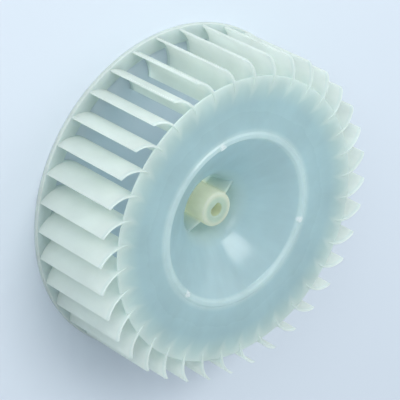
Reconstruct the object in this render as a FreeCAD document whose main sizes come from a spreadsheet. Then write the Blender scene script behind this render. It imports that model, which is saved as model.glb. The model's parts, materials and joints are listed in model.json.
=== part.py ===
# Dryer fan wheel: a forward-curved blower wheel, moulded in one piece.
# The dished disc carries thirty-six cambered blades, a flat ring ties their far ends,
# and a hub with a flatted bore stands in a well at the bottom of the dish.
# Millimetres. Z runs along the shaft, the ring lies on Z = 0 and the disc faces up.
import FreeCAD, Part
from collections import namedtuple
import math
import os
import Sketcher

NODE = "fan_wheel"
PARTS_FOLDER = "parts"

# Driving dimensions. Depths are measured down from the upper ends of the blades.
DIMENSIONS = [
    ("WheelWidth", 45.0, "overall height, ring face to upper blade ends"),
    ("BladeCount", 36, "blades round the wheel"),
    ("BladeTipRadius", 75.0, "outer end of each blade"),
    ("BladeInnerRadius", 58.3, "inner end of each blade"),
    ("BladeSweep", 5.2, "angle by which the inner end trails the tip"),
    ("BladeTurn", 83.8, "angle that a blade's middle line turns through"),
    ("BladeThickness", 1.05, "wall of a blade"),
    ("TipChamfer", 0.8, "cut corner at the upper end of each tip"),
    ("RidgeFade", 4.0, "length over which a blade's inner end sinks into the disc"),
    ("RidgeStep", 0.08, "height left at the sunken inner end"),
    ("RingOverhang", 1.0, "tie ring beyond the blade tips"),
    ("RingWidth", 7.4, "width of the tie ring"),
    ("RingThickness", 2.0, "height of the tie ring"),
    ("RingChamfer", 0.4, "broken outer edges of the tie ring"),
    ("DiscReach", 7.4, "disc beyond the blades' inner ends"),
    ("DiscFlatMargin", 2.0, "flat zone of the disc inside the blades' inner ends"),
    ("DiscDepth", 0.8, "disc face below the blade ends, at its outer edge"),
    ("DiscDish", 0.5, "further fall of the disc face towards the bead"),
    ("DiscWall", 0.9, "wall of the disc"),
    ("BeadRadius", 38.6, "middle of the raised bead"),
    ("BeadWidth", 4.2, "width of the bead at its feet"),
    ("BeadCrest", 1.8, "width of the bead's crest"),
    ("BeadHeight", 0.65, "crest of the bead above its outer foot"),
    ("BeadStep", 0.9, "fall from the bead's outer foot to its inner foot"),
    ("WellRadius", 14.25, "mouth of the well round the hub"),
    ("WellMouthDepth", 18.75, "mouth of the well, at the bottom of the cone"),
    ("WellMouthRounding", 13.0, "rounding by which the dish turns down into the well"),
    ("WellFloorRadius", 12.5, "foot of the well's wall"),
    ("WellFloorDepth", 30.5, "floor of the well"),
    ("WellWall", 1.1, "wall of the cone and of the well"),
    ("HubRadius", 8.0, "outside of the hub"),
    ("HubDepth", 14.6, "end face of the hub"),
    ("HubChamfer", 1.0, "broken edge of the hub's end"),
    ("HubFootLength", 1.0, "hub standing below the floor's underside"),
    ("BoreRadius", 3.1, "round part of the bore"),
    ("BoreFlat", 2.4, "flat of the bore from the axis"),
    ("BoreFlatAngle", -115.0, "direction that the flat faces away from the axis"),
    ("BoreChamfer", 0.35, "lead-in at the bore's mouth"),
    ("GussetThickness", 1.1, "wall of the two gussets"),
    ("GussetAngle", 155.0, "direction of the gussets"),
    ("GussetDepth", 17.3, "free edge of a gusset where it meets the hub"),
    ("GussetReach", 1.7, "gussets past the well's radius, into its rounded mouth"),
    ("GateCount", 3, "gate marks on the bead"),
    ("GateAngle", -15.0, "direction of the first gate mark"),
    ("GateRadius", 1.2, "radius of a gate mark"),
    ("GateHeight", 0.3, "gate mark above the bead's crest"),
]


# Document and sheet of sizes
doc = FreeCAD.newDocument("DryerFan")
sheet = doc.addObject("Spreadsheet::Sheet", "Dims")
for row, (alias, size, meaning) in enumerate(DIMENSIONS, start=1):
    sheet.set(f"A{row}", meaning)
    sheet.set(f"B{row}", str(size))
    sheet.setAlias(f"B{row}", alias)
doc.recompute()


def value(expression):
    """Number that an expression of the sheet gives."""
    found = sheet.evalExpression(expression)
    return float(getattr(found, "Value", found))


# Places worked out from the driving dimensions
DISC_RIM_Z = "Dims.WheelWidth - Dims.DiscDepth"
DISC_R = "Dims.BladeInnerRadius + Dims.DiscReach"
DISC_FLAT_R = "Dims.BladeInnerRadius - Dims.DiscFlatMargin"
BEAD_OUTER_R = "Dims.BeadRadius + Dims.BeadWidth / 2"
BEAD_OUTER_Z = f"{DISC_RIM_Z} - Dims.DiscDish"
BEAD_CREST_Z = f"{BEAD_OUTER_Z} + Dims.BeadHeight"
BEAD_INNER_R = "Dims.BeadRadius - Dims.BeadWidth / 2"
BEAD_INNER_Z = f"{BEAD_OUTER_Z} - Dims.BeadStep"
WELL_MOUTH_Z = "Dims.WheelWidth - Dims.WellMouthDepth"
WELL_FLOOR_Z = "Dims.WheelWidth - Dims.WellFloorDepth"
HUB_Z = "Dims.WheelWidth - Dims.HubDepth"
CONE_SLOPE = f"(({BEAD_INNER_Z}) - ({WELL_MOUTH_Z})) / ({BEAD_INNER_R} - Dims.WellRadius)"
RING_OUTER_R = "Dims.BladeTipRadius + Dims.RingOverhang"
RING_INNER_R = f"{RING_OUTER_R} - Dims.RingWidth"

Corner = namedtuple("Corner", "name across up rounding", defaults=(None,))


def origin_plane(body, role):
    """One of the body's own origin planes or axes."""
    return next(plane for plane in body.Origin.OriginFeatures if plane.Role == role)


def new_sketch(body, name, role, turn_axis=None, turn=None):
    """Sketch on an origin plane, turned about one of its own axes by a bound angle."""
    sketch = body.newObject("Sketcher::SketchObject", name)
    sketch.AttachmentSupport = [(origin_plane(body, role), "")]
    sketch.MapMode = "FlatFace"
    if turn is not None:
        rotation = FreeCAD.Rotation(turn_axis, value(turn))
        sketch.AttachmentOffset = FreeCAD.Placement(FreeCAD.Vector(), rotation)
        sketch.setExpression("AttachmentOffset.Rotation.Angle", turn)
    return sketch


def bind(sketch, constraint, name, expression):
    """Adds a named constraint whose size follows an expression."""
    sketch.renameConstraint(sketch.addConstraint(constraint), name)
    sketch.setExpression(f"Constraints.{name}", expression)


def pin_point(sketch, geometry, end, name, across, up):
    """Holds a point of the sketch at bound distances from the sketch's origin."""
    x = Sketcher.Constraint("DistanceX", -1, 1, geometry, end, value(across))
    y = Sketcher.Constraint("DistanceY", -1, 1, geometry, end, value(up))
    bind(sketch, x, f"{name}X", across)
    bind(sketch, y, f"{name}Y", up)


def draw_profile(sketch, corners):
    """Closed outline of straight sides through bound corners, some of them rounded."""
    points = [FreeCAD.Vector(value(c.across), value(c.up), 0) for c in corners]
    for start, end in zip(points, points[1:] + points[:1]):
        sketch.addGeometry(Part.LineSegment(start, end), False)
    for index, corner in enumerate(corners):
        before = (index - 1) % len(corners)
        sketch.addConstraint(Sketcher.Constraint("Coincident", before, 2, index, 1))
        pin_point(sketch, index, 1, corner.name, corner.across, corner.up)
    for index, corner in enumerate(corners):
        if corner.rounding:
            size = value(corner.rounding)
            rounding = sketch.GeometryCount
            sketch.fillet(index, 1, size, True, True)
            radius = Sketcher.Constraint("Radius", rounding, size)
            bind(sketch, radius, f"{corner.name}Rounding", corner.rounding)


def arc(centre, radius, start, end):
    """Arc that runs anticlockwise from one angle to another."""
    circle = Part.Circle(centre, FreeCAD.Vector(0, 0, 1), radius)
    return Part.ArcOfCircle(circle, start, end)


def revolve(body, name, sketch, feature="PartDesign::Revolution"):
    """Full turn of a sketch on the XZ plane about the shaft."""
    solid = body.newObject(feature, name)
    solid.Profile = sketch
    solid.ReferenceAxis = (sketch, ["V_Axis"])
    solid.Angle = 360.0
    doc.recompute()
    return solid


def pad(body, name, sketch, length, midplane=False):
    """Pad of a bound length."""
    solid = body.newObject("PartDesign::Pad", name)
    solid.Profile = sketch
    solid.Midplane = midplane
    solid.setExpression("Length", length)
    doc.recompute()
    return solid


def polar_pattern(body, name, feature, count):
    """Even copies of a feature round the shaft."""
    pattern = body.newObject("PartDesign::PolarPattern", name)
    pattern.Originals = [feature]
    pattern.Axis = (origin_plane(body, "Z_Axis"), [""])
    pattern.Angle = 360.0
    pattern.setExpression("Occurrences", count)
    body.Tip = pattern
    doc.recompute()
    return pattern


body = doc.addObject("PartDesign::Body", "FanWheel")
body.Label = NODE


# Disc, bead, dish, well and hub: one section turned round the shaft.
# The upper outline runs out from the hub's end to the rim, the lower one comes back
# a wall below it.
CONE_WALL_DROP = f"Dims.WellWall * sqrt(1 + ({CONE_SLOPE}) ^ 2)"
WELL_UNDER_R = "Dims.WellRadius + Dims.WellWall"
WELL_UNDER_Z = f"{WELL_MOUTH_Z} + ({CONE_SLOPE}) * Dims.WellWall - {CONE_WALL_DROP}"
DISC_UNDER_Z = f"{BEAD_OUTER_Z} - Dims.DiscWall"
DISC_UNDER_RISE = f"({DISC_UNDER_Z}) - ({BEAD_INNER_Z}) + {CONE_WALL_DROP}"
DISC_UNDER_R = f"{BEAD_INNER_R} + ({DISC_UNDER_RISE}) / ({CONE_SLOPE})"
RIM_UNDER_Z = f"{DISC_RIM_Z} - Dims.DiscWall"
FLOOR_UNDER_R = "Dims.WellFloorRadius + Dims.WellWall"
FLOOR_UNDER_Z = f"{WELL_FLOOR_Z} - Dims.WellWall"
HUB_FOOT_Z = f"{FLOOR_UNDER_Z} - Dims.HubFootLength"

# Under the rounding of the well's mouth one slanted facet follows it, a wall below: it cuts
# the underside's corner between the cone and the well, and the two cut sides bend equally.
WELL_RUN = f"({WELL_UNDER_R} - ({FLOOR_UNDER_R}))"
WELL_RISE = f"({WELL_UNDER_Z} - ({FLOOR_UNDER_Z}))"
WELL_SIDE = f"sqrt({WELL_RUN} ^ 2 + {WELL_RISE} ^ 2)"
CONE_SIDE = f"sqrt(1 + ({CONE_SLOPE}) ^ 2)"
WELL_BEND = f"(atan({WELL_RISE} / {WELL_RUN}) - atan({CONE_SLOPE}))"
BEND_CUT = (
    f"(Dims.WellMouthRounding - Dims.WellWall)"
    f" * (tan({WELL_BEND} / 2) - tan({WELL_BEND} / 4))"
)
BEND_HIGH_R = f"{WELL_UNDER_R} + {BEND_CUT} / {CONE_SIDE}"
BEND_HIGH_Z = f"{WELL_UNDER_Z} + {BEND_CUT} * ({CONE_SLOPE}) / {CONE_SIDE}"
BEND_LOW_R = f"{WELL_UNDER_R} - {BEND_CUT} * {WELL_RUN} / {WELL_SIDE}"
BEND_LOW_Z = f"{WELL_UNDER_Z} - {BEND_CUT} * {WELL_RISE} / {WELL_SIDE}"

section = new_sketch(body, "WheelSection", "XZ_Plane")
draw_profile(section, [
    Corner("HubEndMiddle", "0", HUB_Z),
    Corner("HubEnd", "Dims.HubRadius - Dims.HubChamfer", HUB_Z),
    Corner("HubEdge", "Dims.HubRadius", f"{HUB_Z} - Dims.HubChamfer"),
    Corner("HubRoot", "Dims.HubRadius", WELL_FLOOR_Z),
    Corner("WellFloor", "Dims.WellFloorRadius", WELL_FLOOR_Z),
    Corner("WellMouth", "Dims.WellRadius", WELL_MOUTH_Z, "Dims.WellMouthRounding"),
    Corner("BeadInnerFoot", BEAD_INNER_R, BEAD_INNER_Z),
    Corner("BeadInnerCrest", "Dims.BeadRadius - Dims.BeadCrest / 2", BEAD_CREST_Z),
    Corner("BeadOuterCrest", "Dims.BeadRadius + Dims.BeadCrest / 2", BEAD_CREST_Z),
    Corner("BeadOuterFoot", BEAD_OUTER_R, BEAD_OUTER_Z),
    Corner("FlatZone", DISC_FLAT_R, DISC_RIM_Z),
    Corner("RimTop", DISC_R, DISC_RIM_Z),
    Corner("RimUnder", DISC_R, RIM_UNDER_Z),
    Corner("FlatZoneUnder", DISC_FLAT_R, RIM_UNDER_Z),
    Corner("DiscUnder", DISC_UNDER_R, DISC_UNDER_Z),
    Corner("BendUnderHigh", BEND_HIGH_R, BEND_HIGH_Z),
    Corner("BendUnderLow", BEND_LOW_R, BEND_LOW_Z),
    Corner("FloorUnder", FLOOR_UNDER_R, FLOOR_UNDER_Z),
    Corner("HubFootRoot", "Dims.HubRadius", FLOOR_UNDER_Z),
    Corner("HubFoot", "Dims.HubRadius", HUB_FOOT_Z),
    Corner("HubFootMiddle", "0", HUB_FOOT_Z),
])
revolve(body, "DiscAndHub", section)

# Two gussets: one plate across the well, through the hub, sunk into the well's wall.
# Its ends follow the middle of that wall up to where the wall bends out into the dish.
GUSSET_SLOPE = "(Dims.WellMouthDepth - Dims.GussetDepth) / (Dims.WellRadius - Dims.HubRadius)"
GUSSET_END_R = "Dims.WellRadius + Dims.GussetReach"
GUSSET_END_Z = f"{WELL_MOUTH_Z} - {GUSSET_SLOPE} * Dims.GussetReach"
GUSSET_BEND_R = f"{BEND_LOW_R} - Dims.WellWall / 2"
GUSSET_FOOT_R = "Dims.WellFloorRadius + Dims.WellWall / 2"
GUSSET_FOOT_Z = f"{WELL_FLOOR_Z} - Dims.WellWall / 2"
GUSSET_HUB_Z = "Dims.WheelWidth - Dims.GussetDepth"

gussets = new_sketch(body, "GussetPlate", "XZ_Plane", FreeCAD.Vector(0, 1, 0), "Dims.GussetAngle")
draw_profile(gussets, [
    Corner("LeftEnd", f"-({GUSSET_END_R})", GUSSET_END_Z),
    Corner("LeftHub", "-Dims.HubRadius", GUSSET_HUB_Z),
    Corner("RightHub", "Dims.HubRadius", GUSSET_HUB_Z),
    Corner("RightEnd", GUSSET_END_R, GUSSET_END_Z),
    Corner("RightBend", GUSSET_BEND_R, BEND_LOW_Z),
    Corner("RightFoot", GUSSET_FOOT_R, GUSSET_FOOT_Z),
    Corner("LeftFoot", f"-({GUSSET_FOOT_R})", GUSSET_FOOT_Z),
    Corner("LeftBend", f"-({GUSSET_BEND_R})", BEND_LOW_Z),
])
pad(body, "Gussets", gussets, "Dims.GussetThickness", midplane=True)

# Gate marks: three low studs on the bead's crest, rooted a stud's height inside it
gate = new_sketch(body, "GateOutline", "XY_Plane", FreeCAD.Vector(0, 0, 1), "Dims.GateAngle")
gate_middle = FreeCAD.Vector(value("Dims.BeadRadius"), 0, 0)
gate_size = value("Dims.GateRadius")
gate.addGeometry(Part.Circle(gate_middle, FreeCAD.Vector(0, 0, 1), gate_size), False)
gate.addConstraint(Sketcher.Constraint("PointOnObject", 0, 3, -1))
place = Sketcher.Constraint("DistanceX", -1, 1, 0, 3, gate_middle.x)
bind(gate, place, "Place", "Dims.BeadRadius")
bind(gate, Sketcher.Constraint("Radius", 0, gate_size), "Size", "Dims.GateRadius")
gate.setExpression("AttachmentOffset.Base.z", f"{BEAD_CREST_Z} - Dims.BeadHeight")
gate_mark = pad(body, "GateMark", gate, "Dims.BeadHeight + Dims.GateHeight")
polar_pattern(body, "GateMarks", gate_mark, "Dims.GateCount")

# Bore with its flat, right through the hub
bore = new_sketch(body, "BoreOutline", "XY_Plane", FreeCAD.Vector(0, 0, 1), "Dims.BoreFlatAngle")
bore_size = value("Dims.BoreRadius")
flat_x = value("Dims.BoreFlat")
flat_half_angle = math.acos(flat_x / bore_size)
flat_half_width = bore_size * math.sin(flat_half_angle)
round_part = arc(FreeCAD.Vector(), bore_size, flat_half_angle, 2 * math.pi - flat_half_angle)
bore.addGeometry(round_part, False)
flat_low = FreeCAD.Vector(flat_x, -flat_half_width, 0)
flat_high = FreeCAD.Vector(flat_x, flat_half_width, 0)
bore.addGeometry(Part.LineSegment(flat_low, flat_high), False)
bore.addConstraint(Sketcher.Constraint("Coincident", 0, 3, -1, 1))
bore.addConstraint(Sketcher.Constraint("Coincident", 0, 2, 1, 1))
bore.addConstraint(Sketcher.Constraint("Coincident", 1, 2, 0, 1))
bore.addConstraint(Sketcher.Constraint("Vertical", 1))
bind(bore, Sketcher.Constraint("Radius", 0, bore_size), "Size", "Dims.BoreRadius")
bind(bore, Sketcher.Constraint("DistanceX", -1, 1, 1, 1, flat_x), "Flat", "Dims.BoreFlat")
bore_cut = body.newObject("PartDesign::Pocket", "Bore")
bore_cut.Profile = bore
bore_cut.Type = "ThroughAll"
bore_cut.Reversed = True
doc.recompute()

# Lead-in at the bore's mouth: the edges on the hub's end that keep within the bore
NEAR = 0.001


def edge_reach(edge):
    """Largest distance of an edge's ends from the shaft's axis."""
    return max(math.hypot(vertex.X, vertex.Y) for vertex in edge.Vertexes)


mouth_edges = [
    f"Edge{number}"
    for number, edge in enumerate(bore_cut.Shape.Edges, start=1)
    if abs(edge.BoundBox.ZMin - value(HUB_Z)) < NEAR and edge_reach(edge) < bore_size + NEAR
]
lead_in = body.newObject("PartDesign::Chamfer", "BoreLeadIn")
lead_in.Base = (bore_cut, mouth_edges)
lead_in.setExpression("Size", "Dims.BoreChamfer")
doc.recompute()

# One blade: a cambered strip whose tip lies on the sketch's X axis. Its middle line is
# an arc through the tip and the inner end; the hollow side faces anticlockwise, seen
# from above. Both ends are cut square to that arc.
INNER_X = "Dims.BladeInnerRadius * cos(Dims.BladeSweep * 1deg)"
INNER_Y = "-Dims.BladeInnerRadius * sin(Dims.BladeSweep * 1deg)"
CHORD = f"sqrt((Dims.BladeTipRadius - {INNER_X}) ^ 2 + ({INNER_Y}) ^ 2)"
CAMBER_R = f"{CHORD} / 2 / sin(Dims.BladeTurn * 0.5deg)"
BACK_R = f"{CAMBER_R} + Dims.BladeThickness / 2"
HOLLOW_R = f"{CAMBER_R} - Dims.BladeThickness / 2"

tip = FreeCAD.Vector(value("Dims.BladeTipRadius"), 0, 0)
inner = FreeCAD.Vector(value(INNER_X), value(INNER_Y), 0)
chord = tip - inner
hollow_side = FreeCAD.Vector(-chord.y, chord.x, 0).normalize()
centre_offset = math.sqrt(value(CAMBER_R) ** 2 - chord.Length ** 2 / 4)
camber_centre = (tip + inner) / 2 + hollow_side * centre_offset
to_tip = tip - camber_centre
to_inner = inner - camber_centre
tip_angle = math.atan2(to_tip.y, to_tip.x)
inner_angle = math.atan2(to_inner.y, to_inner.x)
back_side = arc(camber_centre, value(BACK_R), inner_angle, tip_angle)
hollow_face = arc(camber_centre, value(HOLLOW_R), inner_angle, tip_angle)

blade = new_sketch(body, "BladeOutline", "XY_Plane")
blade.addGeometry(back_side, False)
blade.addGeometry(hollow_face, False)
blade.addGeometry(Part.LineSegment(back_side.EndPoint, hollow_face.EndPoint), False)
blade.addGeometry(Part.LineSegment(hollow_face.StartPoint, back_side.StartPoint), False)
blade.addGeometry(Part.Point(tip), True)
blade.addGeometry(Part.Point(inner), True)
BACK, HOLLOW, TIP_END, INNER_END, TIP_MIDDLE, INNER_MIDDLE = range(6)
blade.addConstraint(Sketcher.Constraint("Coincident", BACK, 3, HOLLOW, 3))
blade.addConstraint(Sketcher.Constraint("Coincident", BACK, 2, TIP_END, 1))
blade.addConstraint(Sketcher.Constraint("Coincident", TIP_END, 2, HOLLOW, 2))
blade.addConstraint(Sketcher.Constraint("Coincident", HOLLOW, 1, INNER_END, 1))
blade.addConstraint(Sketcher.Constraint("Coincident", INNER_END, 2, BACK, 1))
blade.addConstraint(Sketcher.Constraint("PointOnObject", BACK, 3, TIP_END))
blade.addConstraint(Sketcher.Constraint("PointOnObject", BACK, 3, INNER_END))
blade.addConstraint(Sketcher.Constraint("Symmetric", TIP_END, 1, TIP_END, 2, TIP_MIDDLE, 1))
blade.addConstraint(Sketcher.Constraint("Symmetric", INNER_END, 1, INNER_END, 2, INNER_MIDDLE, 1))
pin_point(blade, TIP_MIDDLE, 1, "Tip", "Dims.BladeTipRadius", "0")
pin_point(blade, INNER_MIDDLE, 1, "Inner", INNER_X, INNER_Y)
bind(blade, Sketcher.Constraint("Radius", BACK, back_side.Radius), "Back", BACK_R)
bind(blade, Sketcher.Constraint("Radius", HOLLOW, hollow_face.Radius), "Hollow", HOLLOW_R)

first_blade = pad(body, "Blade", blade, "Dims.WheelWidth")
polar_pattern(body, "Blades", first_blade, "Dims.BladeCount")

# Tie ring round the lower ends of the blades
RING_EDGE_R = f"{RING_OUTER_R} - Dims.RingChamfer"
ring = new_sketch(body, "RingSection", "XZ_Plane")
draw_profile(ring, [
    Corner("LowInner", RING_INNER_R, "0"),
    Corner("HighInner", RING_INNER_R, "Dims.RingThickness"),
    Corner("HighOuter", RING_EDGE_R, "Dims.RingThickness"),
    Corner("HighEdge", RING_OUTER_R, "Dims.RingThickness - Dims.RingChamfer"),
    Corner("LowEdge", RING_OUTER_R, "Dims.RingChamfer"),
    Corner("LowOuter", RING_EDGE_R, "0"),
])
revolve(body, "TieRing", ring)


def cut_blade_ends(name, corners):
    """Turned cut at the blades' upper ends, with proof that it took something away."""
    before = body.Tip.Shape.Volume
    sketch = new_sketch(body, f"{name}Section", "XZ_Plane")
    draw_profile(sketch, corners)
    revolve(body, name, sketch, "PartDesign::Groove")
    if body.Tip.Shape.Volume >= before:
        raise RuntimeError(f"{name} cut nothing")


# Cut corners of the tips
TIP_PAST_R = "Dims.BladeTipRadius + Dims.TipChamfer"
TIP_PAST_Z = "Dims.WheelWidth + Dims.TipChamfer"
cut_blade_ends("TipCorners", [
    Corner("Above", "Dims.BladeTipRadius - 2 * Dims.TipChamfer", TIP_PAST_Z),
    Corner("Below", TIP_PAST_R, "Dims.WheelWidth - 2 * Dims.TipChamfer"),
    Corner("Outside", TIP_PAST_R, TIP_PAST_Z),
])

# Inner ends of the blades' ridges, which sink towards the face of the disc
FADE_START_R = "Dims.BladeInnerRadius - Dims.BladeThickness"
FADE_END_R = "Dims.BladeInnerRadius + Dims.RidgeFade"
FADE_RISE = "Dims.DiscDepth - Dims.RidgeStep"
cut_blade_ends("RidgeEnds", [
    Corner("Low", FADE_START_R, f"{DISC_RIM_Z} + Dims.RidgeStep"),
    Corner("High", f"2 * ({FADE_END_R}) - ({FADE_START_R})", f"Dims.WheelWidth + {FADE_RISE}"),
    Corner("Inside", FADE_START_R, f"Dims.WheelWidth + {FADE_RISE}"),
])


# Checks before anything is written
doc.recompute()
for item in doc.Objects:
    if {"Invalid", "Error"} & set(item.State):
        raise RuntimeError(f"{item.Name} failed: {item.State}")
if body.Shape.isNull() or not body.Shape.isValid():
    raise RuntimeError(f"{body.Label} has no valid shape")
if len(body.Shape.Solids) != 1:
    raise RuntimeError(f"{body.Label} has {len(body.Shape.Solids)} solids")

os.makedirs(PARTS_FOLDER, exist_ok=True)
body.Shape.exportStep(os.path.join(PARTS_FOLDER, f"{body.Label}.step"))
box = body.Shape.optimalBoundingBox()
print(f"{body.Label}: {box.XLength:.2f} x {box.YLength:.2f} x {box.ZLength:.2f} mm")
print(f"{body.Label}: volume {body.Shape.Volume / 1000:.2f} cm3, {len(body.Shape.Faces)} faces")
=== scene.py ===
# %% [markdown]
# # The looks of a dryer fan wheel
# The wheel is one moulding of uncoloured polypropylene: a dished disc with a hub in a well,
# a ring of cambered blades under the disc's rim, and a flat ring that ties their far ends.
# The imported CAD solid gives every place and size. Here the same forms are made again with
# the soft edges, the sinking ridges and the milky plastic that a designer's solid leaves out.

import json
import math

import bmesh
import bpy
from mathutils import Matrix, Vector

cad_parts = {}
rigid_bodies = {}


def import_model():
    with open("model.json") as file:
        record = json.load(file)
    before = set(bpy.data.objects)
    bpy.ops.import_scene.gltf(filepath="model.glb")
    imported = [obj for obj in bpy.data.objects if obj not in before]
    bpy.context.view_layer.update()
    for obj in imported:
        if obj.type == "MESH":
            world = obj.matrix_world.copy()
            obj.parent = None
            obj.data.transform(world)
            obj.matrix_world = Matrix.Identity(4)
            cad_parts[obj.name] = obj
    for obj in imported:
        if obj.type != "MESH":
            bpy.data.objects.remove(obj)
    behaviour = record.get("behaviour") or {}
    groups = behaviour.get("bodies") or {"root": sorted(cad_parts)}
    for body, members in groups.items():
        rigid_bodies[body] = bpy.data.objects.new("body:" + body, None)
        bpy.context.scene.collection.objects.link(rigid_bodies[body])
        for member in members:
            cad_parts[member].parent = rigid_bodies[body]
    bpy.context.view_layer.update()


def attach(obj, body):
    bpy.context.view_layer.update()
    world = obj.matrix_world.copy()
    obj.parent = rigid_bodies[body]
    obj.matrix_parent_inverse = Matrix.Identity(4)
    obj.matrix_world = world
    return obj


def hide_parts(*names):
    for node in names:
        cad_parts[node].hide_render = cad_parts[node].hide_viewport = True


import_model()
MM = 0.001

# %% [markdown]
# ## Camera
# A photograph is matched by a camera that has its distance and its lens, and not just its
# angle, because the two together set how fast the wheel narrows away from the eye. The wheel
# lies on its ring here, so the camera is rolled until the disc leans as it does there.

# %% Camera at the photograph's angle
CAMERA_AZIMUTH = math.radians(-95.92)
CAMERA_ELEVATION = math.radians(43.165)
CAMERA_ROLL = math.radians(-118.187)
CAMERA_DISTANCE = 1005.06 * MM
CAMERA_TARGET = Vector((-0.485, -1.813, 20.524)) * MM
CAMERA_LENS = 207.12
CAMERA_NEAR = 10 * MM
CAMERA_FAR = 20000 * MM


def direction(azimuth, elevation):
    """Unit vector from the wheel towards a place given by its two angles."""
    level = math.cos(elevation)
    return Vector((level * math.cos(azimuth), level * math.sin(azimuth), math.sin(elevation)))


def aim(thing, place, target, roll=0.0):
    """Puts a camera or a lamp at a place, facing a target."""
    turn = (target - place).to_track_quat("-Z", "Y").to_matrix()
    thing.matrix_world = turn.to_4x4()
    thing.rotation_euler.rotate_axis("Z", roll)
    thing.location = place


camera = bpy.data.objects.new("camera", bpy.data.cameras.new("camera"))
bpy.context.scene.collection.objects.link(camera)
camera_place = CAMERA_TARGET + direction(CAMERA_AZIMUTH, CAMERA_ELEVATION) * CAMERA_DISTANCE
aim(camera, camera_place, CAMERA_TARGET, -CAMERA_ROLL)
camera.data.lens = CAMERA_LENS
camera.data.clip_start = CAMERA_NEAR
camera.data.clip_end = CAMERA_FAR
bpy.context.scene.camera = camera
print("camera at", [round(v / MM, 1) for v in camera.location], "mm")

# %% [markdown]
# ## The turned body: disc, bead, dish, well and hub
# A mould insert for such a wheel is turned on a lathe, so one outline swept about the shaft
# gives the whole middle of it. Subdivided boxes or a sculpted dish would be more work and
# less true. The dish is not a straight cone: it swells by about half a millimetre, which
# draws the lamp's highlight together into one small patch. The bead's outer flank is steep
# enough to throw a gleam of its own.

# %% Sizes of the body, in millimetres with Z up from the tie ring
WHEEL_WIDTH = 45.0
RIM_R = 65.7
RIM_Z = 44.2
RIM_SOFTNESS = 0.42
DISC_WALL = 0.9
DISC_FLAT_R = 56.3
DISC_BEND = 120.0
BEAD_R = 38.6
BEAD_CREST_Z = 44.35
BEAD_CREST_HALF = 0.9
BEAD_OUTER_Z = 43.7
BEAD_OUTER_REACH = 1.76
BEAD_INNER_Z = 42.8
BEAD_INNER_REACH = 2.1
DISH_MIDDLE = (27.0, 36.75)
DISH_MIDDLE_BELOW = (27.6, 36.0)
DISH_BEND = 130.0
DISH_TOP_BELOW_R = 37.79
WELL_R = 14.25
WELL_Z = 26.25
WELL_Z_BELOW = 25.69
WELL_WALL = 1.1
WELL_BEND = 13.0
FLOOR_R = 12.5
FLOOR_Z = 14.5
HUB_R = 8.0
HUB_Z = 30.4
HUB_FOOT_Z = 12.4
BORE_R = 3.1
BORE_FLAT = 2.4
BORE_FLAT_ANGLE = math.radians(-115)
BORE_LEAD = 0.35

# Outline corners: radius, height, rounding, and whether the corner follows the bore
BODY_CORNERS = [
    (BORE_R, HUB_Z - BORE_LEAD, 0.0, True),
    (BORE_R + BORE_LEAD, HUB_Z, 0.0, True),
    (HUB_R, HUB_Z, 1.1, False),
    (HUB_R, FLOOR_Z, 0.8, False),
    (FLOOR_R, FLOOR_Z, 1.0, False),
    (WELL_R, WELL_Z, WELL_BEND, False),
    (*DISH_MIDDLE, DISH_BEND, False),
    (BEAD_R - BEAD_INNER_REACH, BEAD_INNER_Z, 1.6, False),
    (BEAD_R - BEAD_CREST_HALF, BEAD_CREST_Z, 1.0, False),
    (BEAD_R + BEAD_CREST_HALF, BEAD_CREST_Z, 0.6, False),
    (BEAD_R + BEAD_OUTER_REACH, BEAD_OUTER_Z, 0.7, False),
    (DISC_FLAT_R, RIM_Z, DISC_BEND, False),
    (RIM_R, RIM_Z, RIM_SOFTNESS, False),
    (RIM_R, RIM_Z - DISC_WALL, RIM_SOFTNESS, False),
    (DISC_FLAT_R, RIM_Z - DISC_WALL, DISC_BEND, False),
    (DISH_TOP_BELOW_R, BEAD_OUTER_Z - DISC_WALL, 3.0, False),
    (*DISH_MIDDLE_BELOW, DISH_BEND, False),
    (WELL_R + WELL_WALL, WELL_Z_BELOW, WELL_BEND - WELL_WALL, False),
    (FLOOR_R + WELL_WALL, FLOOR_Z - WELL_WALL, 1.4, False),
    (HUB_R, FLOOR_Z - WELL_WALL, 0.4, False),
    (HUB_R, HUB_FOOT_Z, 0.4, False),
    (BORE_R, HUB_FOOT_Z, 0.0, True),
]
print("body outline:", len(BODY_CORNERS), "corners")

# %% [markdown]
# ### Rounding the outline
# Hot plastic never fills a dead sharp corner, and the small arcs are what catches the light
# along the bead and round the hub. A Bevel modifier on the finished mesh would need a weight
# on every edge, so each corner is rounded before the sweep: an arc that touches both of its
# sides takes its place.

# %% Round the outline's corners
ARC_STEP = math.radians(12)


def rounded(corners, step=ARC_STEP):
    """Points along a closed outline, with an arc in place of each rounded corner."""
    points = []
    for index, (across, up, rounding, follows_bore) in enumerate(corners):
        corner = Vector((across, up))
        before = (Vector(corners[index - 1][:2]) - corner).normalized()
        after = (Vector(corners[(index + 1) % len(corners)][:2]) - corner).normalized()
        if not rounding:
            points.append((across, up, follows_bore))
            continue
        half = before.angle(after) / 2
        middle = corner + (before + after).normalized() * rounding / math.sin(half)
        start = corner + before * rounding / math.tan(half) - middle
        turn = start.angle_signed(corner + after * rounding / math.tan(half) - middle)
        steps = max(3, math.ceil(abs(turn) / step))
        for part in range(steps + 1):
            angle = -turn * part / steps
            sine, cosine = math.sin(angle), math.cos(angle)
            spoke = Vector((start.x * cosine - start.y * sine, start.x * sine + start.y * cosine))
            points.append((*(middle + spoke), follows_bore))
    return points


body_outline = rounded(BODY_CORNERS)
print("rounded outline:", len(body_outline), "points")

# %% [markdown]
# ### Sweeping the outline about the shaft
# The Spin tool would sweep a round body, but the bore isn't round: it has a flat that stops
# the wheel from slipping on its shaft. So the spokes are made one by one, and a corner that
# follows the bore gives way to the flat where the flat is nearer.

# %% Turn the body
BODY_SEGMENTS = 240


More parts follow.
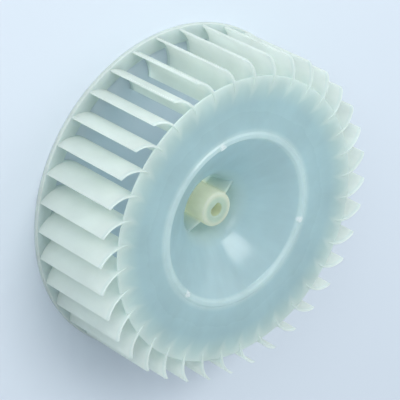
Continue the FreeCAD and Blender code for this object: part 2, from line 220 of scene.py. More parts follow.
def bore_reach(radius, angle):
    """Radius of the bore's wall in a direction, cut short by the flat."""
    towards_flat = math.cos(angle - BORE_FLAT_ANGLE)
    if towards_flat <= 0:
        return radius
    return min(radius, (BORE_FLAT + radius - BORE_R) / towards_flat)


def new_object(name, mesh):
    """Object for a mesh, in the scene."""
    made = bpy.data.objects.new(name, mesh)
    bpy.context.scene.collection.objects.link(made)
    return made


def turned(name, outline, segments):
    """Closed shell swept about the shaft from a closed outline."""
    shell = bmesh.new()
    spokes = []
    for index in range(segments):
        angle = 2 * math.pi * index / segments
        spoke = []
        for radius, height, follows_bore in outline:
            reach = bore_reach(radius, angle) if follows_bore else radius
            place = Vector((reach * math.cos(angle), reach * math.sin(angle), height))
            spoke.append(shell.verts.new(place * MM))
        spokes.append(spoke)
    for here, there in zip(spokes, spokes[1:] + spokes[:1]):
        for low in range(len(outline)):
            high = (low + 1) % len(outline)
            shell.faces.new((here[low], there[low], there[high], here[high]))
    bmesh.ops.recalc_face_normals(shell, faces=shell.faces)
    mesh = bpy.data.meshes.new(name)
    shell.to_mesh(mesh)
    shell.free()
    return new_object(name, mesh)


body = turned("turned_body", body_outline, BODY_SEGMENTS)
print("body:", len(body.data.polygons), "faces")

# %% [markdown]
# ## The blades
# Thirty-six equal blades follow one rule, so Geometry Nodes make them: an arc through three
# points, a narrow upright section swept along it, then copies round the shaft. Looping over
# copies in code would work too, but here the count and every size stay as inputs that can be
# turned while the wheel is looked at. After the sweep, one Set Position rounds the tip and
# lets the top of the blade sink into the disc, as the real ridges do.

# %% Sizes of the blades, and the three points of a blade's arc
BLADE_COUNT = 36
BLADE_TIP_R = 75.0
BLADE_INNER_R = 58.3
BLADE_SWEEP = math.radians(5.2)
BLADE_TURN = math.radians(83.8)
BLADE_WALL = 0.92
BLADE_EDGE = 0.32
TIP_ROUNDING = 0.7
RIDGE_SINKS_FROM = 66.6
RIDGE_GONE_AT = 58.5
RIDGE_SINK = 0.95
EDGE_STEPS = 3
BLADE_STEPS = 44

tip = Vector((BLADE_TIP_R, 0, 0))
inner = BLADE_INNER_R * Vector((math.cos(BLADE_SWEEP), -math.sin(BLADE_SWEEP), 0))
chord = tip - inner
camber_radius = chord.length / 2 / math.sin(BLADE_TURN / 2)
hollow_side = Vector((-chord.y, chord.x, 0)).normalized()
sagitta = camber_radius * (1 - math.cos(BLADE_TURN / 2))
middle = (tip + inner) / 2 - hollow_side * sagitta
camber_centre = (tip + inner) / 2 + hollow_side * (camber_radius - sagitta)
print("camber radius", round(camber_radius, 2), "mm, sagitta", round(sagitta, 2), "mm")

# %% [markdown]
# ### Helpers for node trees
# A node tree in code is mostly the same three lines for each node: make it, set it, link it.
# These helpers do that in one call, and the material's tree uses them again later.


# %% Helpers for node trees
def add(tree, kind, inputs=None, **settings):
    """Node with its settings, its plain numbers and its links made in one go."""
    made = tree.nodes.new(kind)
    for name, setting in settings.items():
        setattr(made, name, setting)
    for name, given in (inputs or {}).items():
        if isinstance(given, bpy.types.NodeSocket):
            tree.links.new(given, made.inputs[name])
        else:
            made.inputs[name].default_value = given
    return made


def math_node(tree, operation, *values, **settings):
    """Result of one sum in a node tree."""
    inputs = dict(enumerate(values))
    return add(tree, "ShaderNodeMath", inputs, operation=operation, **settings).outputs[0]


def round_the_shaft(tree, position):
    """Distance from the shaft, in a node tree."""
    flat = add(tree, "ShaderNodeVectorMath", {0: position, 1: (1, 1, 0)}, operation="MULTIPLY")
    length = add(tree, "ShaderNodeVectorMath", {0: flat.outputs[0]}, operation="LENGTH")
    return length.outputs["Value"]


def between(tree, value, low, high, at_low, at_high):
    """Soft step from one value to another."""
    inputs = {
        "Value": value,
        "From Min": low,
        "From Max": high,
        "To Min": at_low,
        "To Max": at_high,
    }
    step = add(tree, "ShaderNodeMapRange", inputs, interpolation_type="SMOOTHSTEP")
    return step.outputs["Result"]


print("helpers:", ", ".join(h.__name__ for h in (add, math_node, round_the_shaft, between)))

# %% [markdown]
# ### The blade's section, swept along its arc
# Every size is a named input of the tree. The section is a tall narrow rectangle with its
# corners filleted, and Curve to Mesh carries it along the arc with its height kept upright.

# %% Build the tree that makes the blades
plastic = bpy.data.materials.new("natural_polypropylene")
BLADE_INPUTS = {
    "Inner end": ("NodeSocketVector", inner * MM),
    "Middle": ("NodeSocketVector", middle * MM),
    "Tip": ("NodeSocketVector", tip * MM),
    "Wall": ("NodeSocketFloat", BLADE_WALL * MM),
    "Edge": ("NodeSocketFloat", BLADE_EDGE * MM),
    "Height": ("NodeSocketFloat", WHEEL_WIDTH * MM),
    "Tip rounding": ("NodeSocketFloat", TIP_ROUNDING * MM),
    "Ridge sinks from": ("NodeSocketFloat", RIDGE_SINKS_FROM * MM),
    "Ridge gone at": ("NodeSocketFloat", RIDGE_GONE_AT * MM),
    "Ridge sink": ("NodeSocketFloat", RIDGE_SINK * MM),
    "Count": ("NodeSocketInt", BLADE_COUNT),
    "Steps": ("NodeSocketInt", BLADE_STEPS),
}

tree = bpy.data.node_groups.new("blade ring", "GeometryNodeTree")
for name, (kind, _) in BLADE_INPUTS.items():
    tree.interface.new_socket(name, in_out="INPUT", socket_type=kind)
tree.interface.new_socket("Blades", in_out="OUTPUT", socket_type="NodeSocketGeometry")
given = add(tree, "NodeGroupInput").outputs

arc = add(tree, "GeometryNodeCurveArc", {
    "Resolution": given["Steps"],
    "Start": given["Inner end"],
    "Middle": given["Middle"],
    "End": given["Tip"],
}, mode="POINTS")
upright = add(tree, "GeometryNodeSetCurveNormal", {"Curve": arc.outputs["Curve"]}, mode="Z_UP")
section = add(tree, "GeometryNodeCurvePrimitiveQuadrilateral", {
    "Width": given["Wall"],
    "Height": given["Height"],
}, mode="RECTANGLE")
soft_section = add(tree, "GeometryNodeFilletCurve", {
    "Curve": section.outputs["Curve"],
    "Count": EDGE_STEPS,
    "Radius": given["Edge"],
}, mode="POLY")
sweep = add(tree, "GeometryNodeCurveToMesh", {
    "Curve": upright.outputs["Curve"],
    "Profile Curve": soft_section.outputs["Curve"],
    "Fill Caps": True,
})
half_height = math_node(tree, "MULTIPLY", given["Height"], 0.5)
lift = add(tree, "ShaderNodeCombineXYZ", {"Z": half_height})
stood = add(tree, "GeometryNodeSetPosition", {
    "Geometry": sweep.outputs["Mesh"],
    "Offset": lift.outputs["Vector"],
})
print("sweep:", len(tree.nodes), "nodes,", len(BLADE_INPUTS), "inputs")

# %% [markdown]
# ### Sinking the ridge and rounding the tip
# On the real wheel each blade shows on the disc as a ridge that sinks away inwards, and the
# upper corner of its tip is rounded. Both only lower the points of the blade's top by an
# amount that depends on their distance from the shaft, so one Set Position does both.

# %% Sink the ridge and round the tip
position = add(tree, "GeometryNodeInputPosition").outputs["Position"]
radius = round_the_shaft(tree, position)
height = add(tree, "ShaderNodeSeparateXYZ", {"Vector": position}).outputs["Z"]
is_top = math_node(tree, "GREATER_THAN", height, half_height)

tip_length = add(tree, "ShaderNodeVectorMath", {0: given["Tip"]}, operation="LENGTH")
rounding_starts = math_node(tree, "SUBTRACT", tip_length.outputs["Value"], given["Tip rounding"])
past = math_node(tree, "MAXIMUM", math_node(tree, "SUBTRACT", radius, rounding_starts), 0.0)
squares = math_node(
    tree,
    "SUBTRACT",
    math_node(tree, "POWER", given["Tip rounding"], 2.0),
    math_node(tree, "POWER", past, 2.0),
)
left = math_node(tree, "SQRT", math_node(tree, "MAXIMUM", squares, 0.0))
tip_drop = math_node(tree, "SUBTRACT", given["Tip rounding"], left)
ridge_drop = between(
    tree, radius, given["Ridge gone at"], given["Ridge sinks from"], given["Ridge sink"], 0.0
)
drop = math_node(tree, "MULTIPLY", math_node(tree, "ADD", tip_drop, ridge_drop), -1.0)
shaped = add(tree, "GeometryNodeSetPosition", {
    "Geometry": stood.outputs["Geometry"],
    "Selection": is_top,
    "Offset": add(tree, "ShaderNodeCombineXYZ", {"Z": drop}).outputs["Vector"],
})
print("shaping:", len(tree.nodes), "nodes so far")

# %% [markdown]
# ### Copies round the shaft
# Points at the shaft carry the copies, each turned by its number times the pitch. The tree
# ends in Realize Instances and Set Material, because an instance is no mesh of its own.

# %% Copy the blade round the shaft
places = add(tree, "GeometryNodePoints", {"Count": given["Count"]})
turn = math_node(
    tree,
    "MULTIPLY",
    add(tree, "GeometryNodeInputIndex").outputs["Index"],
    math_node(tree, "DIVIDE", 2 * math.pi, given["Count"]),
)
copies = add(tree, "GeometryNodeInstanceOnPoints", {
    "Points": places.outputs["Points"],
    "Instance": shaped.outputs["Geometry"],
    "Rotation": add(tree, "ShaderNodeCombineXYZ", {"Z": turn}).outputs["Vector"],
})
real = add(tree, "GeometryNodeRealizeInstances", {"Geometry": copies.outputs["Instances"]})
painted = add(tree, "GeometryNodeSetMaterial", {
    "Geometry": real.outputs["Geometry"],
    "Material": plastic,
})
add(tree, "NodeGroupOutput", {"Blades": painted.outputs["Geometry"]})
print("blade tree:", len(tree.nodes), "nodes")

# %% [markdown]
# ### From the modifier to a plain mesh
# The inputs are set before the modifier first runs. Its result is then kept as an ordinary
# mesh, and the modifier goes.


# %% Run the tree and keep its result as a plain mesh
def set_inputs(modifier, values):
    """Gives a Geometry Nodes modifier its inputs, found by name and set by identifier."""
    for item in modifier.node_group.interface.items_tree:
        if item.in_out == "INPUT":
            modifier[item.identifier] = values[item.name][1]


def as_plain_mesh(thing):
    """Mesh of an object with its modifiers worked in."""
    bpy.context.view_layer.update()
    evaluated = thing.evaluated_get(bpy.context.evaluated_depsgraph_get())
    return bpy.data.meshes.new_from_object(evaluated)


def worked_in(thing):
    """Object with its modifiers worked into its mesh."""
    mesh = as_plain_mesh(thing)
    thing.modifiers.clear()
    thing.data = mesh
    return thing


blades = new_object("blades", bpy.data.meshes.new("blades"))
blade_modifier = blades.modifiers.new("blade ring", "NODES")
blade_modifier.node_group = tree
set_inputs(blade_modifier, BLADE_INPUTS)
worked_in(blades)
lows = [min(v.co[axis] for v in blades.data.vertices) / MM for axis in range(3)]
highs = [max(v.co[axis] for v in blades.data.vertices) / MM for axis in range(3)]
print("blades from", [round(v, 2) for v in lows], "to", [round(v, 2) for v in highs], "mm")

# %% [markdown]
# ## Tie ring
# The flat ring ties the far ends of the blades, which would bend at speed without it. It is
# another turned outline, so the same two helpers make it.

# %% Tie ring
# A hair inside the CAD part's 76, so that the skin stays in its box
RING_OUTER_R = 75.97
RING_INNER_R = 68.6
RING_THICKNESS = 2.0
RING_INNER_SOFTNESS = 0.3
RING_OUTER_SOFTNESS = 0.45
RING_SEGMENTS = 216
RING_ARC_STEP = math.radians(30)

ring_outline = rounded([
    (RING_INNER_R, 0.0, RING_INNER_SOFTNESS, False),
    (RING_INNER_R, RING_THICKNESS, RING_INNER_SOFTNESS, False),
    (RING_OUTER_R, RING_THICKNESS, RING_OUTER_SOFTNESS, False),
    (RING_OUTER_R, 0.0, RING_OUTER_SOFTNESS, False),
], RING_ARC_STEP)
ring = turned("tie_ring", ring_outline, RING_SEGMENTS)
print("tie ring:", len(ring.data.polygons), "faces")

# %% [markdown]
# ## Gussets
# Two thin plates brace the hub against the well's wall. Each is an outline in the plane of
# the shaft, pushed to both sides of that plane and bevelled. Its outer points lie inside the
# wall of the well, so that the union later leaves no gap.

# %% Gussets
GUSSET_WALL = 1.1
GUSSET_SOFTNESS = 0.25
GUSSET_ANGLES = [math.radians(155), math.radians(-25)]
# Distance from the shaft, and height
GUSSET_OUTLINE = [(5.5, 28.28), (15.95, 25.86), (14.44, 23.14), (13.05, 13.95), (5.5, 13.95)]


def gusset(name, angle):
    """Plate standing on a radius, with softened edges."""
    along = Vector((math.cos(angle), math.sin(angle), 0))
    across = Vector((-math.sin(angle), math.cos(angle), 0)) * GUSSET_WALL / 2
    plate = bmesh.new()
    sides = []
    for side in (-1, 1):
        corners = [along * out + across * side + Vector((0, 0, up)) for out, up in GUSSET_OUTLINE]
        sides.append([plate.verts.new(corner * MM) for corner in corners])
    plate.faces.new(sides[0])
    plate.faces.new(sides[1][::-1])
    for low in range(len(GUSSET_OUTLINE)):
        high = (low + 1) % len(GUSSET_OUTLINE)
        plate.faces.new((sides[0][low], sides[1][low], sides[1][high], sides[0][high]))
    bmesh.ops.recalc_face_normals(plate, faces=plate.faces)
    softness = GUSSET_SOFTNESS * MM
    bmesh.ops.bevel(plate, geom=plate.edges[:], offset=softness, segments=3, affect="EDGES")
    mesh = bpy.data.meshes.new(name)
    plate.to_mesh(mesh)
    plate.free()
    return new_object(name, mesh)


gussets = [gusset(f"gusset_{n}", angle) for n, angle in enumerate(GUSSET_ANGLES, start=1)]
print("gussets:", len(gussets), "plates of", len(gussets[0].data.polygons), "faces")

# %% [markdown]
# ## Gate marks
# Where the plastic was let into the mould, the sprue was torn off and left a low ragged
# button on the bead. A plain disc would look like a rivet, so the edge wanders by two sine
# waves whose phase comes from the mark's own direction, which makes each mark different.

# %% Gate marks
GATE_COUNT = 3
GATE_ANGLE = math.radians(-15)
GATE_CENTRE_R = BEAD_R - 0.4
GATE_R = 1.35
GATE_STRETCH_OUT = 0.75
GATE_STRETCH_ALONG = 1.35
GATE_STEPS = 28
# Share of the button's radius, and height above the bead's crest
GATE_PROFILE = [(1.0, -0.6), (1.0, 0.05), (0.9, 0.22), (0.62, 0.34), (0.3, 0.2)]


def torn_reach(around, angle):
    """Share of a gate mark's radius at one place on its edge."""
    return 1 + 0.16 * math.sin(3 * around + 5 * angle) + 0.1 * math.sin(7 * around + angle)


def torn_height(around, angle):
    """Share of a gate mark's height at one place on its edge."""
    return 1 + 0.35 * math.sin(2 * around + 3 * angle)


def gate_mark(name, angle):
    """Low button with a ragged edge."""
    out = Vector((math.cos(angle), math.sin(angle), 0))
    along = Vector((-math.sin(angle), math.cos(angle), 0))
    centre = out * GATE_CENTRE_R
    button = bmesh.new()
    rings = []
    for share, up in GATE_PROFILE:
        corners = []
        for step in range(GATE_STEPS):
            around = 2 * math.pi * step / GATE_STEPS
            outwards = out * math.cos(around) * GATE_STRETCH_OUT
            sideways = along * math.sin(around) * GATE_STRETCH_ALONG
            reach = GATE_R * share * torn_reach(around, angle)
            top = Vector((0, 0, BEAD_CREST_Z + up * torn_height(around, angle)))
            place = centre + (outwards + sideways) * reach + top
            corners.append(button.verts.new(place * MM))
        rings.append(corners)
    for low, high in zip(rings, rings[1:]):
        for step in range(GATE_STEPS):
            ahead = (step + 1) % GATE_STEPS
            button.faces.new((low[step], low[ahead], high[ahead], high[step]))
    button.faces.new(rings[0][::-1])
    button.faces.new(rings[-1])
    bmesh.ops.recalc_face_normals(button, faces=button.faces)
    mesh = bpy.data.meshes.new(name)
    button.to_mesh(mesh)
    button.free()
    return new_object(name, mesh)


gate_marks = [
    gate_mark(f"gate_mark_{n + 1}", GATE_ANGLE + 2 * math.pi * n / GATE_COUNT)
    for n in range(GATE_COUNT)
]
print("gate marks:", len(gate_marks))

# %% [markdown]
# ## One moulding
# Left apart, the pieces would show their hidden walls through the milky plastic. A Boolean
# union gives the single closed skin that a moulding has, so light can wander inside it.

# %% Unite the pieces
wheel = body
wheel.name = "moulded_wheel"
loose_pieces = [ring, blades, *gussets, *gate_marks]
for piece in loose_pieces:
    union = wheel.modifiers.new(piece.name, "BOOLEAN")
    union.operation = "UNION"
    union.solver = "MANIFOLD"
    union.object = piece
worked_in(wheel)
for piece in loose_pieces:
    bpy.data.objects.remove(piece)
wheel.data.name = "moulded_wheel"
wheel.data.materials.clear()
wheel.data.materials.append(plastic)
print("united:", len(wheel.data.polygons), "faces")

# %% [markdown]
# ### Smooth shading that keeps flat faces flat
# Faces are shaded smooth up to a limit angle. Weighted normals then keep the wide flat faces
# flat beside their small rounded edges. Counting the edges that don't join two faces, and
# measuring the volume, shows at once whether the union has left a hole.

# %% Shade the skin and measure it
SMOOTH_LIMIT = math.radians(34)
wheel.data.shade_smooth()
wheel.data.set_sharp_from_angle(angle=SMOOTH_LIMIT)
weights = wheel.modifiers.new("flat faces stay flat", "WEIGHTED_NORMAL")
weights.keep_sharp = True
worked_in(wheel)

skin = bmesh.new()
skin.from_mesh(wheel.data)
open_edges = sum(1 for edge in skin.edges if not edge.is_manifold)
millilitres = skin.calc_volume() / MM ** 3 / 1000
skin.free()
triangles = sum(len(face.vertices) - 2 for face in wheel.data.polygons)
print(f"wheel: {triangles} triangles, {open_edges} open edges, {millilitres:.2f} cm3")

# %% [markdown]
# ## Natural polypropylene
# Uncoloured polypropylene is milky: light enters, wanders a few millimetres and comes out
# again, so thin walls glow and thick ones look creamier. The shader is built further down:
# first comes its colour. That changes with wall thickness, which here follows the distance
# from the shaft, so one colour ramp over that distance holds the zones from hub to blades.
# The ramp also carries painted light: painted shade in the bore, painted glow on the hub's
# side and in the well, a painted highlight along the bead and painted glow at the disc's rim.


# %% Colours of the zones, from the shaft outwards
def srgb(red, green, blue):
    """Linear colour for a colour that a picture shows, in 0 to 255."""
    shares = [c / 255 for c in (red, green, blue)]
    linear = [s / 12.92 if s <= 0.04045 else ((s + 0.055) / 1.055) ** 2.4 for s in shares]
    return (*linear, 1.0)


ZONE_REACH = 80.0
# Distance from the shaft, and colour: bore, hub, well, dish, bead, disc and rim
ZONES = [
    # Bore: darker, as painted shade inside the hole
    (0.0, srgb(206, 211, 180)),
    (3.0, srgb(212, 216, 188)),
    # Hub's side and well: creamy from thickness, and paler still as painted glow in their shade
    (3.7, srgb(254, 253, 234)),
    (7.6, srgb(254, 253, 234)),
    (9.5, srgb(229, 239, 233)),
    (14.5, srgb(212, 228, 228)),
    (19.0, srgb(203, 223, 227)),
    (33.0, srgb(203, 223, 227)),
    (36.4, srgb(204, 224, 228)),
    # Bead: a paler band as its painted highlight
    (37.0, srgb(222, 237, 238)),
    (40.4, srgb(220, 235, 236)),
    (42.4, srgb(202, 223, 227)),
    (54.0, srgb(201, 222, 226)),
    # Towards the rim: paler, as painted glow of light through the blade ends
    (59.0, srgb(211, 228, 228)),
    (62.5, srgb(221, 234, 232)),
    (65.5, srgb(233, 242, 239)),
    (75.0, srgb(246, 250, 247)),
]

plastic.use_nodes = True
shader = plastic.node_tree
shader.nodes.clear()
coordinates = add(shader, "ShaderNodeTexCoord").outputs["Object"]
xyz = add(shader, "ShaderNodeSeparateXYZ", {"Vector": coordinates}).outputs
from_shaft = round_the_shaft(shader, coordinates)
zone_place = math_node(shader, "DIVIDE", from_shaft, ZONE_REACH * MM)
zone_ramp = add(shader, "ShaderNodeValToRGB", {"Fac": zone_place})
stops = zone_ramp.color_ramp.elements
while len(stops) > 1:
    stops.remove(stops[-1])
stops[0].position, stops[0].color = ZONES[0][0] / ZONE_REACH, ZONES[0][1]
for reach, colour in ZONES[1:]:
    stops.new(reach / ZONE_REACH).color = colour
print("zones:", len(ZONES), "stops over", ZONE_REACH, "mm")

# %% [markdown]
# ### Blades and ring
# The blades start under the disc, where the ramp alone would give them the disc's colour. So
# their own colour holds below the disc from their inner ends outwards, and above it only
# past the rim, where it fades in slowly and leaves no hard line on their upper ends. Their
# upper flanks near the disc thus keep the disc's deeper tone, as painted shade from the disc
# and the neighbouring blades. The ring's flat face is painted a shade deeper: painted shade
# between the blades.

# %% Colours of the blades and of the ring's face
BLADE_COLOUR = srgb(246, 250, 246)
# Painted shade: the ring's flat face between the blades is painted deeper
RING_FACE_SHADE_COLOUR = srgb(232, 241, 238)
# Heights and distances in millimetres between which each colour fades
UNDER_DISC = (37.0, 43.4)
BLADE_ENDS = (57.0, 58.2)
PAST_RIM = (65.2, 71.5)
ABOVE_RING = (RING_THICKNESS + 0.02, RING_THICKNESS + 0.15)
RING_EDGE = (RING_OUTER_R - 0.8, RING_OUTER_R - 0.3)


def blend(tree, share, first, second, mode="MIX"):
    """Colour mixed from two by a share."""
    inputs = {"Factor": share, 6: first, 7: second}
    return add(tree, "ShaderNodeMix", inputs, data_type="RGBA", blend_type=mode).outputs[2]


def fade(value, limits, at_low, at_high):
    """Soft step in the plastic's tree between two limits in millimetres."""
    low, high = limits
    return between(shader, value, low * MM, high * MM, at_low, at_high)


def both(first, second):
    """Share where two shares hold together."""
    return math_node(shader, "MULTIPLY", first, second)


# Painted shade: under the disc and just past the rim, the blades' upper flanks keep the ramp's
# deeper tone
below_disc = both(fade(xyz["Z"], UNDER_DISC, 1.0, 0.0), fade(from_shaft, BLADE_ENDS, 0.0, 1.0))
on_blade = math_node(shader, "MAXIMUM", below_disc, fade(from_shaft, PAST_RIM, 0.0, 1.0))
bladed_colour = blend(shader, on_blade, zone_ramp.outputs["Color"], BLADE_COLOUR)
ring_face_shade_share = both(fade(xyz["Z"], ABOVE_RING, 1.0, 0.0), fade(from_shaft, RING_EDGE, 1.0, 0.0))
body_colour = blend(shader, ring_face_shade_share, bladed_colour, RING_FACE_SHADE_COLOUR)
print("blades fade in past the rim from", PAST_RIM[0], "to", PAST_RIM[1], "mm")

# %% [markdown]
# ### The hub's end
# The hub is the thickest part, so its side looks creamy, and the ramp makes it paler still
# as painted glow. Its end face looks cooler, with a paler brim: a painted highlight along the
# rounded edge. The ramp knows only the distance from the shaft, so a mask on the height picks
# the end face out.

# %% Colours of the hub's end
HUB_END_COLOUR = srgb(214, 230, 222)
# Paler brim colour: a painted highlight on the end face's rounded edge
BRIM_PAINTED_HIGHLIGHT_COLOUR = srgb(240, 244, 233)
HUB_END_LEVEL = (HUB_Z - 0.9, HUB_Z - 0.1)
HUB_SIDE = (HUB_R, HUB_R + 0.5)
HUB_BRIM = (HUB_R - 3.2, HUB_R - 1.0)

on_hub_end = both(fade(xyz["Z"], HUB_END_LEVEL, 0.0, 1.0), fade(from_shaft, HUB_SIDE, 1.0, 0.0))
near_brim_highlight = fade(from_shaft, HUB_BRIM, 0.0, 1.0)
hub_end_colour = blend(shader, near_brim_highlight, HUB_END_COLOUR, BRIM_PAINTED_HIGHLIGHT_COLOUR)
hub_colour = blend(shader, on_hub_end, body_colour, hub_end_colour)
print("hub end:", HUB_R, "mm in radius,", HUB_Z, "mm above the floor")

# %% [markdown]
# ### Whitening and painted glint at the gates
# Torn plastic whitens, and the marks are painted paler still as a painted glint where their
# ragged tops catch the light. Painting it would need a texture, but the marks stand at equal
# angles, so wrapping the angle about the shaft to one third of a turn finds the nearest mark.

# %% Whitening and painted glint at the gates
GATE_WHITENING_AND_GLINT_COLOUR = srgb(252, 255, 255)
# Distances in millimetres from a gate's middle between which the whitening and painted glint fade
GATE_BLUSH = (0.9, 2.0)

around_shaft = math_node(shader, "ARCTAN2", xyz["Y"], xyz["X"])


def wrapped(angle, pitch):
    """Angle brought to within half a pitch of nought."""
    return math_node(shader, "WRAP", angle, pitch / 2, -pitch / 2)


def squared(value):
    """Square of a value in the plastic's tree."""
    return math_node(shader, "POWER", value, 2.0)


past_first_gate = math_node(shader, "SUBTRACT", around_shaft, GATE_ANGLE)
off_gate = wrapped(past_first_gate, 2 * math.pi / GATE_COUNT)
along_bead = math_node(shader, "MULTIPLY", off_gate, BEAD_R * MM)
across_bead = math_node(shader, "SUBTRACT", from_shaft, GATE_CENTRE_R * MM)
gate_squares = math_node(shader, "ADD", squared(along_bead), squared(across_bead))
near_gate = fade(math_node(shader, "SQRT", gate_squares), GATE_BLUSH, 1.0, 0.0)
zone_colour = blend(shader, near_gate, hub_colour, GATE_WHITENING_AND_GLINT_COLOUR)
print("gates whitened:", GATE_COUNT)

# %% [markdown]
# ### Painted glow of the blade roots through the disc
# Over each blade the plastic is forty millimetres deep instead of one, and the light that
# comes up through it is painted on the disc as a pale wedge of painted glow that widens
# outwards. Its line is the blade's own arc. For a point at a given distance from the shaft,
# the law of cosines gives the angle at which the arc crosses that distance, and wrapping the
# difference to one blade's pitch serves all of the blades.

# %% Painted glow: pale wedges over the blade roots
ROOT_GLOW_COLOUR = srgb(238, 246, 243)
ROOT_GLOW_STRENGTH = 0.8
# Distances in millimetres between which the wedge widens and appears, and its half angles
WEDGE_WIDENS = (55.0, 67.0)
WEDGE_HALF_ANGLES = (math.radians(1.0), math.radians(5.4))
WEDGE_APPEARS = (55.0, 62.0)
# Share of the half angle within which the wedge is at its palest
WEDGE_CORE = 0.05
DISC_FACE = (43.0, 43.9)
PITCH = 2 * math.pi / BLADE_COUNT

centre_reach = camber_centre.length
centre_angle = math.atan2(camber_centre.y, camber_centre.x)
law_constant = (centre_reach ** 2 - camber_radius ** 2) * MM ** 2
law_top = math_node(shader, "ADD", squared(from_shaft), law_constant)
law_bottom = math_node(shader, "MULTIPLY", from_shaft, 2 * centre_reach * MM)
cosine = math_node(shader, "DIVIDE", law_top, law_bottom, use_clamp=True)
crossing = math_node(shader, "ARCCOSINE", cosine)
arc_angle = math_node(shader, "SUBTRACT", centre_angle, crossing)
off_blade = wrapped(math_node(shader, "SUBTRACT", around_shaft, arc_angle), PITCH)
wedge = fade(from_shaft, WEDGE_WIDENS, *WEDGE_HALF_ANGLES)
share_of_wedge = math_node(shader, "DIVIDE", math_node(shader, "ABSOLUTE", off_blade), wedge)
near_blade = between(shader, share_of_wedge, WEDGE_CORE, 1.0, 1.0, 0.0)
on_face = both(fade(from_shaft, WEDGE_APPEARS, 0.0, 1.0), fade(xyz["Z"], DISC_FACE, 0.0, 1.0))
root_glow_share = math_node(shader, "MULTIPLY", both(near_blade, on_face), ROOT_GLOW_STRENGTH)
glowing_root_colour = blend(shader, root_glow_share, zone_colour, ROOT_GLOW_COLOUR)
print("blade arc's centre:", round(centre_reach, 2), "mm from the shaft")

# %% [markdown]
# ### Clouding and flow streaks
# Even clear natural plastic is never one flat colour. It clouds where it cooled slowly, and
# it keeps faint streaks along the way it flowed from the gates. Both are noise in the colour.
# The clouds are about 15 mm wide, and the streaks come from noise on the direction from the
# shaft, which stays the same along a radius.

# %% Clouding and streaks
CLOUDS_PER_METRE = 60.0
STREAK_TURNS = (14.0, 14.0, 1.0)
CLOUD_TONES = (0.97, 1.025)
STREAK_TONES = (0.985, 1.012)
# The middle stretch of the noise, which hardly ever leaves it
NOISE_MIDDLE = (0.3, 0.7)

clouds = add(shader, "ShaderNodeTexNoise", {
    "Vector": coordinates,
    "Scale": CLOUDS_PER_METRE,
    "Detail": 3.0,
    "Roughness": 0.55,
})
cloud_value = between(shader, clouds.outputs["Fac"], *NOISE_MIDDLE, *CLOUD_TONES)
way_out = add(shader, "ShaderNodeVectorMath", {0: coordinates}, operation="NORMALIZE")
streak_place = add(shader, "ShaderNodeVectorMath", {
    0: way_out.outputs["Vector"],
    1: STREAK_TURNS,
}, operation="MULTIPLY")
streaks = add(shader, "ShaderNodeTexNoise", {
    "Vector": streak_place.outputs["Vector"],
    "Scale": 1.0,
    "Detail": 4.0,
    "Roughness": 0.6,
})
streak_value = between(shader, streaks.outputs["Fac"], *NOISE_MIDDLE, *STREAK_TONES)
tone = both(cloud_value, streak_value)
tone_colour = add(shader, "ShaderNodeCombineXYZ", {"X": tone, "Y": tone, "Z": tone})
plastic_colour = blend(shader, 1.0, glowing_root_colour, tone_colour.outputs["Vector"], "MULTIPLY")
print("tone varies from", CLOUD_TONES[0], "to", CLOUD_TONES[1])

# %% [markdown]
# ### Grain and ripple of the moulded skin
# The steel of the mould leaves a fine satin grain, and shrinkage leaves a slow ripple. Both
# are far too shallow to model, so they are bumps: the grain on top of the ripple.

# %% Grain and ripple
RIPPLES_PER_METRE = 70.0
RIPPLE_DEPTH = 0.4 * MM
RIPPLE_STRENGTH = 0.08
GRAINS_PER_METRE = 2600.0
GRAIN_DEPTH = 0.04 * MM
GRAIN_STRENGTH = 0.12

ripple = add(shader, "ShaderNodeTexNoise", {
    "Vector": coordinates,
    "Scale": RIPPLES_PER_METRE,
    "Detail": 1.0,
})
ripple_bump = add(shader, "ShaderNodeBump", {
    "Height": ripple.outputs["Fac"],
    "Strength": RIPPLE_STRENGTH,
    "Distance": RIPPLE_DEPTH,
})
grain = add(shader, "ShaderNodeTexNoise", {
    "Vector": coordinates,
    "Scale": GRAINS_PER_METRE,
    "Detail": 2.0,
})
grain_bump = add(shader, "ShaderNodeBump", {
    "Height": grain.outputs["Fac"],
    "Strength": GRAIN_STRENGTH,
    "Distance": GRAIN_DEPTH,
    "Normal": ripple_bump.outputs["Normal"],
})
print("grain:", round(1 / GRAINS_PER_METRE / MM, 2), "mm wide")

# %% [markdown]
# ### The milky shader
# The disc and the dish were moulded against polished steel and the blades against plainer
# steel, so the roughness rises outwards, and it drifts with the clouds so that highlights
# don't look sprayed on. A Principled shader with subsurface scattering gives the milk and the
# gloss. The Translucent shader beside it lets light cross the thin walls.

# %% Roughness and the shader itself
# Distances in millimetres from the shaft between which the polish gives way
POLISH_ENDS = (42.0, 60.0)
POLISHED, UNPOLISHED = 0.14, 0.42
ROUGHNESS_DRIFT = 0.07
TRANSLUCENT_SHARE = 0.64

zone_roughness = fade(from_shaft, POLISH_ENDS, POLISHED, UNPOLISHED)
drift = between(shader, clouds.outputs["Fac"], *NOISE_MIDDLE, 0.0, ROUGHNESS_DRIFT)
satin = add(shader, "ShaderNodeBsdfPrincipled", {
    "Base Color": plastic_colour,
    "Roughness": math_node(shader, "ADD", zone_roughness, drift),
    "IOR": 1.49,
    "Specular IOR Level": 0.8,
    "Subsurface Weight": 0.6,
    "Subsurface Radius": (1.0, 1.0, 0.85),
    "Subsurface Scale": 3 * MM,
    "Normal": grain_bump.outputs["Normal"],
})
glow = add(shader, "ShaderNodeBsdfTranslucent", {
    "Color": plastic_colour,
    "Normal": ripple_bump.outputs["Normal"],
})
mixed = add(shader, "ShaderNodeMixShader", {
    "Fac": TRANSLUCENT_SHARE,
    1: satin.outputs["BSDF"],
    2: glow.outputs["BSDF"],
})
add(shader, "ShaderNodeOutputMaterial", {"Surface": mixed.outputs["Shader"]})
print("plastic:", len(shader.nodes), "nodes")

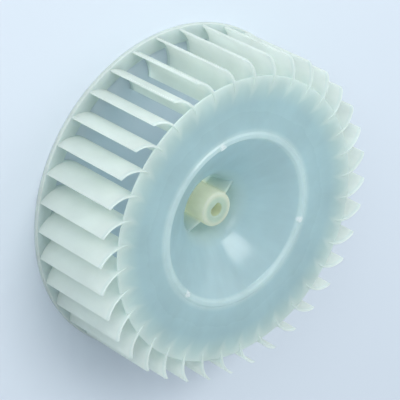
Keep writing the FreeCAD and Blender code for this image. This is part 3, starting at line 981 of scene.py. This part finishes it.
# %% [markdown]
# ## The floor
# The floor is plain and pale so that nothing competes with the wheel, and slightly cool, which
# is what milky plastic borrows from its surroundings. It is wide enough to fill the picture
# from every side.

# %% Floor
FLOOR_SIZE = 6.0
FLOOR_COLOUR = srgb(210, 219, 230)
FLOOR_ROUGHNESS = 0.85

half = FLOOR_SIZE / 2
floor_corners = [(-half, -half, 0), (half, -half, 0), (half, half, 0), (-half, half, 0)]
floor_mesh = bpy.data.meshes.new("floor")
floor_mesh.from_pydata(floor_corners, [], [(0, 1, 2, 3)])
floor = new_object("floor", floor_mesh)
floor_paint = bpy.data.materials.new("pale_floor")
floor_paint.use_nodes = True
floor_shader = floor_paint.node_tree.nodes["Principled BSDF"]
floor_shader.inputs["Base Color"].default_value = FLOOR_COLOUR
floor_shader.inputs["Roughness"].default_value = FLOOR_ROUGHNESS
floor_mesh.materials.append(floor_paint)
print("floor:", FLOOR_SIZE, "m wide")

# %% [markdown]
# ## Lamps and surroundings
# The key is a narrow softbox, rolled so that its reflection in the dish leans as the
# photograph's does. A side fill and a low front fill open the shadows between the blades. The
# photographed wheel stands on its edge, and this one lies on the floor, so a weak panel under
# the disc stands for the light that would reach its back. The world's even glow fills the
# rest.


# %% Lamps and surroundings
def softbox(name, azimuth, elevation, distance, width, height, watts, colour, roll=0.0):
    """Lamp that faces the wheel from a direction given in degrees."""
    lamp = bpy.data.lights.new(name, "AREA")
    lamp.shape = "RECTANGLE"
    lamp.size = width
    lamp.size_y = height
    lamp.energy = watts
    lamp.color = colour
    holder = new_object(name, lamp)
    middle_of_wheel = Vector((0, 0, WHEEL_WIDTH / 2 * MM))
    way = direction(math.radians(azimuth), math.radians(elevation))
    aim(holder, middle_of_wheel + way * distance, middle_of_wheel, math.radians(roll))
    return holder


WARM, COOL, COLD = (1.0, 0.99, 0.96), (0.97, 1.0, 1.0), (0.95, 1.0, 1.0)
ROOM_COLOUR = (0.86, 0.94, 1.0, 1.0)
ROOM_STRENGTH = 0.6

key = softbox(
    "key", azimuth=-158, elevation=52, distance=1.1,
    width=0.6, height=0.27, watts=5.2, colour=WARM, roll=27.5,
)
side_fill = softbox(
    "side_fill", azimuth=140, elevation=42, distance=1.4,
    width=0.9, height=0.9, watts=3.7, colour=COOL,
)
front_fill = softbox(
    "front_fill", azimuth=-112, elevation=22, distance=1.5,
    width=1.0, height=1.0, watts=9.2, colour=COOL,
)
under_panel = softbox(
    "under_panel", azimuth=0, elevation=-90, distance=0.0215,
    width=0.09, height=0.09, watts=0.015, colour=COLD,
)
under_panel.visible_camera = False
room = bpy.data.worlds.new("soft_room")
bpy.context.scene.world = room
room.use_nodes = True
room_glow = room.node_tree.nodes["Background"]
room_glow.inputs["Color"].default_value = ROOM_COLOUR
room_glow.inputs["Strength"].default_value = ROOM_STRENGTH
bpy.context.scene.view_settings.view_transform = "Standard"
lamps = [key, side_fill, front_fill, under_panel]
print("lamps in watts:", {lamp.name: round(lamp.data.energy, 3) for lamp in lamps})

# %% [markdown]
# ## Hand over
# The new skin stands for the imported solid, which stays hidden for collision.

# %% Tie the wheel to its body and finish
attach(wheel, "root")
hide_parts("fan_wheel")
